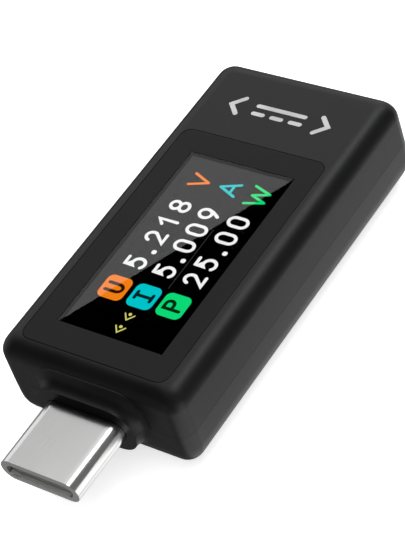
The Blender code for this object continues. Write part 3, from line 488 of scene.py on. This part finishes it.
def make_finishes():
    """One material for each slot of the record."""
    finishes = {name: grained(name, **look) for name, look in GRAINED_LOOKS.items()}
    finishes |= {name: clear_pane(name, **look) for name, look in CLEAR_LOOKS.items()}
    finishes |= {name: end_capped(name, **look) for name, look in END_CAPPED_LOOKS.items()}
    finishes["board_laminate"] = solder_mask("board_laminate")
    return finishes


def dress_nodes(record, nodes, finishes):
    """Gives each CAD node the finish of its slot, with smooth curves and crisp flats."""
    for row in record["subparts"]:
        node = nodes[row["node"]]
        node.data.materials.clear()
        node.data.materials.append(finishes[row["material_slot"]])
        smooth_node(node)


def smooth_node(node):
    """Curves shade smoothly, flats stay flat, and an edge sharper than CREASE stays crisp."""
    weld = node.modifiers.new("weld", "WELD")
    weld.merge_threshold = WELD_DISTANCE
    node.data.shade_smooth()
    split = node.modifiers.new("crisp edges", "EDGE_SPLIT")
    split.split_angle = CREASE
    weighted = node.modifiers.new("flat faces lead", "WEIGHTED_NORMAL")
    weighted.keep_sharp = True
    weighted.weight = FLAT_FACE_WEIGHT


# Flat drawing: strokes and patches of ink, as thin solids

SHARPEST_MITRE = 0.5  # cosine of half the turn, below which a corner reaches out no further


def arc(centre, radii, start, end, steps=14):
    """Points on an ellipse from angle start to end, in degrees."""
    points = []
    for step in range(steps + 1):
        angle = math.radians(start + (end - start) * step / steps)
        x = centre[0] + radii[0] * math.cos(angle)
        y = centre[1] + radii[1] * math.sin(angle)
        points.append((x, y))
    return points


def full_loop(centre, radii, steps=24):
    """Points round a whole ellipse."""
    return arc(centre, radii, 0, 360, steps)[:-1]


def ribbon(points, width, closed=False):
    """The two sides of a path, half a width off it: lists of left and right points."""
    path = [Vector(point) for point in points]
    count = len(path)
    left, right = [], []
    for index, point in enumerate(path):
        before = path[index - 1] if index or closed else None
        after = path[(index + 1) % count] if index < count - 1 or closed else None
        directions = []
        if before is not None:
            directions.append((point - before).normalized())
        if after is not None:
            directions.append((after - point).normalized())
        mean = sum(directions, Vector((0.0, 0.0))).normalized()
        normal = Vector((-mean.y, mean.x))
        reach = width / 2 / max(SHARPEST_MITRE, mean.dot(directions[0]))
        left.append(point + normal * reach)
        right.append(point - normal * reach)
    return left, right


def cap_points(point, direction, width, steps=6):
    """A half circle round the end of a stroke, from its left side to its right side."""
    start = math.degrees(math.atan2(direction.y, direction.x)) + 90
    return arc(point, (width / 2, width / 2), start, start - 180, steps)[1:-1]


def stroke_outline(points, width):
    """The outline of a stroke with round ends."""
    left, right = ribbon(points, width)
    path = [Vector(point) for point in points]
    ahead = (path[-1] - path[-2]).normalized()
    behind = (path[0] - path[1]).normalized()
    end_cap = cap_points(path[-1], ahead, width)
    start_cap = cap_points(path[0], behind, width)
    return [*left, *end_cap, *reversed(right), *start_cap]


def add_outline(bm, outline, place):
    """A flat face with this outline, mapped by place from drawing to frame coordinates."""
    return bm.faces.new([bm.verts.new(place(*point)) for point in outline])


def add_ring(bm, inner, outer, place):
    """Flat faces between two loops of as many points."""
    inside = [bm.verts.new(place(*point)) for point in inner]
    outside = [bm.verts.new(place(*point)) for point in outer]
    count = len(inner)
    for i in range(count):
        j = (i + 1) % count
        bm.faces.new((inside[i], inside[j], outside[j], outside[i]))


def ink(name, bm, material, thickness=INK_THICKNESS):
    """Turns the flat faces of bm into one thin solid piece that rides on the housing."""
    bmesh.ops.recalc_face_normals(bm, faces=bm.faces)
    for face in bm.faces:
        if face.normal.z < 0:
            face.normal_flip()
    top = bmesh.ops.extrude_face_region(bm, geom=bm.faces[:])
    raised = [item for item in top["geom"] if isinstance(item, bmesh.types.BMVert)]
    bmesh.ops.translate(bm, vec=(0, 0, thickness), verts=raised)
    bmesh.ops.recalc_face_normals(bm, faces=bm.faces)
    mesh = bpy.data.meshes.new(name)
    bm.to_mesh(mesh)
    bm.free()
    mesh.materials.append(material)
    obj = bpy.data.objects.new(name, mesh)
    bpy.context.scene.collection.objects.link(obj)
    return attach(obj, "housing")


def rounded_square(centre, size, corner, steps=8):
    half = size / 2 - corner
    points = []
    for quarter, (side_u, side_v) in enumerate(((1, 1), (-1, 1), (-1, -1), (1, -1))):
        middle = (centre[0] + side_u * half, centre[1] + side_v * half)
        points += arc(middle, (corner, corner), 90 * quarter, 90 * quarter + 90, steps)
    return points


# Glyphs


def glyph_strokes(letter, w, h):
    """A list of (points, closed) strokes in a box w wide and h high; numbers are its shares."""
    if letter == "0":
        bend = 0.56 * w
        top = arc((w / 2, h - bend), (w / 2, bend), 0, 180)
        bottom = arc((w / 2, bend), (w / 2, bend), 180, 360)
        return [(top + bottom, True)]
    if letter == "1":
        return [([(0.12 * w, 0.72 * h), (0.64 * w, h), (0.64 * w, 0)], False)]
    if letter == "2":
        head = arc((0.5 * w, 0.7 * h), (0.47 * w, 0.3 * h), 165, -28)
        return [(head + [(0.04 * w, 0), (w, 0)], False)]
    if letter == "5":
        flag = [(0.92 * w, h), (0.14 * w, h), (0.07 * w, 0.54 * h)]
        bowl = arc((0.46 * w, 0.33 * h), (0.53 * w, 0.33 * h), 125, -142)
        return [(flag + bowl, False)]
    if letter == "8":
        head = full_loop((0.5 * w, 0.75 * h), (0.44 * w, 0.25 * h))
        bowl = full_loop((0.5 * w, 0.25 * h), (0.5 * w, 0.25 * h))
        return [(head, True), (bowl, True)]
    if letter == "9":
        head = full_loop((0.5 * w, 0.68 * h), (0.49 * w, 0.32 * h))
        tail = [(0.97 * w, 0.6 * h), (0.82 * w, 0.34 * h), (0.44 * w, 0)]
        return [(head, True), (tail, False)]
    if letter == "V":
        return [([(0, h), (w / 2, 0)], False), ([(w / 2, 0), (w, h)], False)]
    if letter == "A":
        bar = [(0.2 * w, 0.32 * h), (0.8 * w, 0.32 * h)]
        return [([(0, 0), (w / 2, h)], False), ([(w / 2, h), (w, 0)], False), (bar, False)]
    if letter == "W":
        corners = [(0, h), (0.26 * w, 0), (0.5 * w, 0.86 * h), (0.74 * w, 0), (w, h)]
        return [([start, end], False) for start, end in zip(corners, corners[1:])]
    if letter == "U":
        turn = arc((w / 2, 0.34 * h), (w / 2, 0.34 * h), 180, 360)
        return [([(0, h)] + turn + [(w, h)], False)]
    if letter == "I":
        top, bottom = [(0, h), (w, h)], [(0, 0), (w, 0)]
        return [(top, False), ([(w / 2, h), (w / 2, 0)], False), (bottom, False)]
    if letter == "P":
        bowl = arc((0.55 * w, 0.74 * h), (0.45 * w, 0.26 * h), 90, -90)
        return [([(0, 0), (0, h)] + bowl + [(0, 0.48 * h)], False)]
    raise ValueError(letter)


def draw_glyph(bm, letter, corner, size, width, place):
    """corner is the (u, v) of the glyph's lower left; size is the box of its centre lines."""

    def shifted(u, v):
        return place(u + corner[0], v + corner[1])

    for points, closed in glyph_strokes(letter, *size):
        if closed:
            inner, outer = ribbon(points, width, closed=True)
            add_ring(bm, inner, outer, shifted)
        else:
            add_outline(bm, stroke_outline(points, width), shifted)


def screen_place(row_x, z):
    """A function that puts (u, v) onto the display: u along the row, v up the letter, in mm."""

    def place(u, v):
        return row_x - v * MM, u * MM, z

    return place


def number_row(name, text, row_x, z, material):
    """A row of digits; the point takes a narrower cell."""
    bm = bmesh.new()
    place = screen_place(row_x, z)
    base = -DIGIT_HEIGHT / 2 - DIGITS_DROP
    cursor = DIGITS_START_Y
    for letter in text:
        pitch = POINT_PITCH if letter == "." else DIGIT_PITCH
        centre = cursor + pitch / 2
        if letter == ".":
            middle = (centre, base + POINT_RISE)
            point = rounded_square(middle, POINT_SIZE, POINT_CORNER, steps=4)
            add_outline(bm, point, place)
        else:
            size = (DIGIT_WIDTH, DIGIT_HEIGHT)
            draw_glyph(bm, letter, (centre - DIGIT_WIDTH / 2, base), size, DIGIT_STROKE, place)
        cursor += pitch
    return ink(name, bm, material)


def unit_letter(name, letter, width, row_x, z, material):
    bm = bmesh.new()
    corner = (UNIT_Y - width / 2, -DIGIT_HEIGHT / 2 - DIGITS_DROP)
    size = (width, UNIT_HEIGHT)
    draw_glyph(bm, letter, corner, size, UNIT_STROKE, screen_place(row_x, z))
    return ink(name, bm, material)


def badge(name, letter, width, row_x, z, back, front):
    """A rounded square with a letter in front of it."""
    bm = bmesh.new()
    place = screen_place(row_x, z)
    add_outline(bm, rounded_square((BADGE_Y, 0.0), BADGE_SIZE, BADGE_CORNER), place)
    ink(name, bm, back)
    bm = bmesh.new()
    height = BADGE_LETTER_HEIGHT
    place = screen_place(row_x, z + INK_THICKNESS)
    corner = (BADGE_Y - width / 2, -height / 2)
    draw_glyph(bm, letter, corner, (width, height), BADGE_LETTER_STROKE, place)
    return ink(name + "_letter", bm, front, INK_THICKNESS / 2)


def flow_marks(z, material):
    """Two small chevrons, each with a dot, that point towards the plug."""
    bm = bmesh.new()
    place = screen_place(MIDDLE_ROW_X, z)
    for tip_u in FLOW_MARK_TIPS:
        arm_u = tip_u + FLOW_ARM_LENGTH
        arms = [(arm_u, FLOW_ARM_SPREAD), (tip_u, 0.0), (arm_u, -FLOW_ARM_SPREAD)]
        add_outline(bm, stroke_outline(arms, FLOW_STROKE), place)
        radii = (FLOW_DOT_RADIUS, FLOW_DOT_RADIUS)
        dot = full_loop((tip_u + FLOW_DOT_OFFSET, 0.0), radii, steps=12)
        add_outline(bm, dot, place)
    return ink("flow_marks", bm, material)


def divider(z, material):
    """A thin line between the last two rows."""
    bm = bmesh.new()
    path = [(u, 0.0) for u in DIVIDER_ENDS]
    add_outline(bm, stroke_outline(path, DIVIDER_STROKE), screen_place(DIVIDER_X, z))
    return ink("divider_line", bm, material)


def display_graphics():
    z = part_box("lcd_cell")[1].z + PIXEL_GAP
    white = glowing("pixels_white", WHITE)
    for index, row in enumerate(DISPLAY_ROWS):
        name, text, mark, mark_width, unit, unit_width, base = row
        color = glowing(f"pixels_{name}", base)
        row_x = MIDDLE_ROW_X + (index - 1) * ROW_PITCH
        number_row(name + "_digits", text, row_x, z, white)
        unit_letter(name + "_unit", unit, unit_width, row_x, z, color)
        shade = tuple(LETTER_SHADE * channel for channel in base)
        dark = glowing(f"pixels_{name}_dark", shade)
        badge(name + "_badge", mark, mark_width, row_x, z, color, dark)
    flow_marks(z, glowing("pixels_yellow", PALE_YELLOW))
    divider(z, glowing("pixels_dim", DIM_GREY))


# Printed mark: the sign for direct current between two arrowheads


def printed_mark():
    """A bar over three dashes, between two arrowheads, sunk a tenth of its ink into the top."""
    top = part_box("top_shell")[1].z
    material = grained("print_white", **PRINT_LOOK)
    bm = bmesh.new()

    def place(u, v):
        return u * MM, MARK_Y + v * MM, top - INK_THICKNESS / 10

    half_bar = MARK_BAR / 2
    bar = [(-half_bar, MARK_BAR_RISE), (half_bar, MARK_BAR_RISE)]
    add_outline(bm, stroke_outline(bar, MARK_STROKE), place)
    for start in (-half_bar, -MARK_DASH / 2, half_bar - MARK_DASH):
        dash = [(start, -MARK_BAR_RISE), (start + MARK_DASH, -MARK_BAR_RISE)]
        add_outline(bm, stroke_outline(dash, MARK_STROKE), place)
    for side in (-1, 1):
        tip, foot = side * MARK_HALF_WIDTH, side * (MARK_HALF_WIDTH - MARK_HALF_HEIGHT)
        arms = [(foot, MARK_HALF_HEIGHT), (tip, 0.0), (foot, -MARK_HALF_HEIGHT)]
        add_outline(bm, stroke_outline(arms, MARK_STROKE), place)
    return ink("current_mark", bm, material)


# Studio


def view_axes():
    """The camera's right, up and backward directions."""
    azimuth, elevation, roll = CAMERA_AZIMUTH, CAMERA_ELEVATION, CAMERA_ROLL
    back = Vector(
        (
            math.sin(azimuth) * math.cos(elevation),
            -math.cos(azimuth) * math.cos(elevation),
            math.sin(elevation),
        )
    )
    level = Vector((math.cos(azimuth), math.sin(azimuth), 0.0))
    upright = back.cross(level)
    right = level * math.cos(roll) + upright * math.sin(roll)
    up = upright * math.cos(roll) - level * math.sin(roll)
    return right, up, back


def add_camera():
    right, up, back = view_axes()
    data = bpy.data.cameras.new("camera")
    data.sensor_fit = "VERTICAL"
    data.sensor_height = SENSOR_HEIGHT_MM
    data.lens = LENS_MM
    data.clip_start = CLIP_START
    data.clip_end = CLIP_END
    camera = bpy.data.objects.new("camera", data)
    turn = Matrix((right, up, back)).transposed()
    place = Matrix.Translation(CAMERA_TARGET + back * CAMERA_DISTANCE)
    camera.matrix_world = place @ turn.to_4x4()
    bpy.context.scene.collection.objects.link(camera)
    bpy.context.scene.camera = camera
    return camera


def soft_box(name, centre, along, across, size, radiance, glossy=True):
    """A rectangular light, its size given along and across, that faces the object."""
    length, width = size
    data = bpy.data.lights.new(name, "AREA")
    data.shape = "RECTANGLE"
    data.size = length
    data.size_y = width
    data.energy = radiance * math.pi * length * width
    light = bpy.data.objects.new(name, data)
    x_axis = along.normalized()
    z_axis = x_axis.cross(across).normalized()
    if z_axis.dot(centre) < 0:
        z_axis = -z_axis
    y_axis = z_axis.cross(x_axis)
    turn = Matrix((x_axis, y_axis, z_axis)).transposed()
    light.matrix_world = Matrix.Translation(centre) @ turn.to_4x4()
    light.visible_glossy = glossy
    light.visible_transmission = glossy
    light.visible_camera = False
    bpy.context.scene.collection.objects.link(light)
    return light


def mirrored_hit(camera_place, mirror_z, point, plane_point, plane_normal):
    """Where the camera sees plane through a mirror at mirror_z, looking at point on it."""
    eye = Vector((camera_place.x, camera_place.y, 2 * mirror_z - camera_place.z))
    ray = point - eye
    return eye + ray * ((plane_point - eye).dot(plane_normal) / ray.dot(plane_normal))


def glare_boxes(camera):
    """Two soft boxes with a dark gap, whose edge the display mirrors from corner to corner."""
    eye = camera.matrix_world.translation
    low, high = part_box("display_window")
    mirror_z = high.z
    middle = Vector(((low.x + high.x) / 2, (low.y + high.y) / 2, mirror_z))
    away = middle - eye
    away.z = -away.z
    away.normalize()
    plane_point = middle + away * GLARE_DISTANCE
    near_corner = Vector((low.x, low.y, mirror_z)) + GLARE_NEAR_INSET
    far_corner = high + GLARE_FAR_INSET
    dark_corner = Vector((high.x, low.y, mirror_z))
    ends = [
        mirrored_hit(eye, mirror_z, corner, plane_point, away)
        for corner in (near_corner, far_corner, dark_corner)
    ]
    along = (ends[1] - ends[0]).normalized()
    across = away.cross(along).normalized()
    gap = abs((ends[2] - ends[0]).dot(across)) * GAP_SHARE
    length = GLARE_STOP - GLARE_START
    centre = (ends[0] + ends[1]) / 2 + along * (GLARE_START + GLARE_STOP) / 2
    for name, side, edge, radiance in (
        ("glare_box", 1, 0.0, GLARE_RADIANCE),
        ("overhead_box", -1, gap, OVERHEAD_RADIANCE),
    ):
        place = centre + across * side * (edge + GLARE_WIDTH / 2)
        soft_box(name, place, along, across, (length, GLARE_WIDTH), radiance)


def strip_light():
    """A bright narrow light over the right-hand edge, for the line along it."""
    size = (STRIP_LENGTH, STRIP_WIDTH)
    soft_box("strip_light", STRIP_CENTRE, STRIP_ALONG, X_AXIS, size, STRIP_RADIANCE)


def fill_light():
    """A broad light from above that whitens the floor and stays out of reflections."""
    size = (FILL_SIZE, FILL_SIZE)
    soft_box("fill_light", FILL_CENTRE, X_AXIS, Y_AXIS, size, FILL_RADIANCE, glossy=False)


def add_world():
    """Dark surroundings with soft lobes of light; where they overlap the lighter one counts."""
    world = bpy.data.worlds.new("studio")
    world.use_nodes = True
    background = world.node_tree.nodes["Background"]
    direction = add_node(world, "ShaderNodeTexCoord").outputs["Generated"]
    light, *others = (world_ramp(world, direction, *lobe) for lobe in WORLD_LOBES)
    for other in others:
        settings = {"data_type": "RGBA", "blend_type": "LIGHTEN"}
        lighter = add_node(world, "ShaderNodeMix", **settings)
        lighter.inputs["Factor"].default_value = 1.0
        connect(world, light, lighter.inputs["A"])
        connect(world, other, lighter.inputs["B"])
        light = lighter.outputs["Result"]
    connect(world, light, background.inputs["Color"])
    background.inputs["Strength"].default_value = WORLD_STRENGTH
    bpy.context.scene.world = world


def world_ramp(world, direction, towards, stops):
    """Greys that follow how closely direction points towards something."""
    dot = add_node(world, "ShaderNodeVectorMath", {"Vector": direction}, operation="DOT_PRODUCT")
    dot.inputs[1].default_value = Vector(towards).normalized()
    node = add_node(world, "ShaderNodeValToRGB", {"Fac": dot.outputs["Value"]})
    elements = node.color_ramp.elements
    for position, _ in stops[2:]:
        elements.new(position)
    for element, (position, grey) in zip(elements, stops):
        element.position = position
        element.color = (grey, grey, grey, 1.0)
    return node.outputs["Color"]


def stage_mesh(name, bm, material):
    """A piece of the studio and not of the object. Gloss doesn't show it unless that is set."""
    mesh = bpy.data.meshes.new(name)
    bm.to_mesh(mesh)
    bm.free()
    mesh.materials.append(material)
    obj = bpy.data.objects.new(name, mesh)
    bpy.context.scene.collection.objects.link(obj)
    obj.visible_glossy = False
    obj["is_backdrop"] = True
    return obj


def plain_glow(name, strength):
    """Even white light with no shading."""
    material = new_material(name)
    shader = shader_of(material)
    shader.inputs["Base Color"].default_value = rgba(BLACK)
    shader.inputs["Specular IOR Level"].default_value = 0.0
    shader.inputs["Emission Color"].default_value = rgba(WHITE)
    shader.inputs["Emission Strength"].default_value = strength
    return material


def add_floor():
    """A pale table that the object's gloss doesn't mirror."""
    bm = bmesh.new()
    bmesh.ops.create_grid(
        bm, x_segments=FLOOR_CELLS, y_segments=FLOOR_CELLS, size=FLOOR_HALF_SIZE
    )
    material = new_material("pale_floor")
    shader = shader_of(material)
    tone = noise(material, FLOOR_GRAIN, detail=1.0)
    connect(material, ramp(material, tone, *FLOOR_GREYS), shader.inputs["Base Color"])
    shader.inputs["Roughness"].default_value = FLOOR_ROUGHNESS
    shader.inputs["Specular IOR Level"].default_value = FLOOR_SPECULAR
    shader.inputs["Emission Color"].default_value = rgba(WHITE)
    shader.inputs["Emission Strength"].default_value = FLOOR_GLOW
    stage_mesh("floor", bm, material).location.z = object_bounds()[0].z


def add_card():
    """A white card bent up from the table beside the plug, seen only in gloss."""
    bm = bmesh.new()
    rows = [
        [bm.verts.new(Vector((x, y, height)) * MM) for y in ends]
        for x, height, *ends in CARD_PROFILE
    ]
    for (near, far), (next_near, next_far) in zip(rows, rows[1:]):
        bm.faces.new((near, next_near, next_far, far))
    card = stage_mesh("card", bm, plain_glow("white_card", CARD_GLOW))
    card.location.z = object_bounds()[0].z
    card.visible_glossy = True
    card.visible_camera = False
    card.visible_diffuse = False
    card.visible_transmission = False
    card.visible_shadow = False


def build_studio():
    scene = bpy.context.scene
    scene.view_settings.view_transform = "Standard"
    scene.view_settings.look = "None"
    camera = add_camera()
    add_world()
    add_floor()
    add_card()
    glare_boxes(camera)
    strip_light()
    fill_light()


with open("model.json") as file:
    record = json.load(file)
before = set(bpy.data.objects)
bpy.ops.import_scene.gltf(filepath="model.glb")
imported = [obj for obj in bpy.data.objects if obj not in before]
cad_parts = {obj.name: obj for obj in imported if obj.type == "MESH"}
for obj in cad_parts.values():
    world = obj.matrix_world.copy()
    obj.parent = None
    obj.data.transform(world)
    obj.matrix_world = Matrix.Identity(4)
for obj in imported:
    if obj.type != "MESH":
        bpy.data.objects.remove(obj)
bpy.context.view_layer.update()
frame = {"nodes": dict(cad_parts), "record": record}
dress_nodes(frame["record"], frame["nodes"], make_finishes())
display_graphics()
printed_mark()
build_studio()
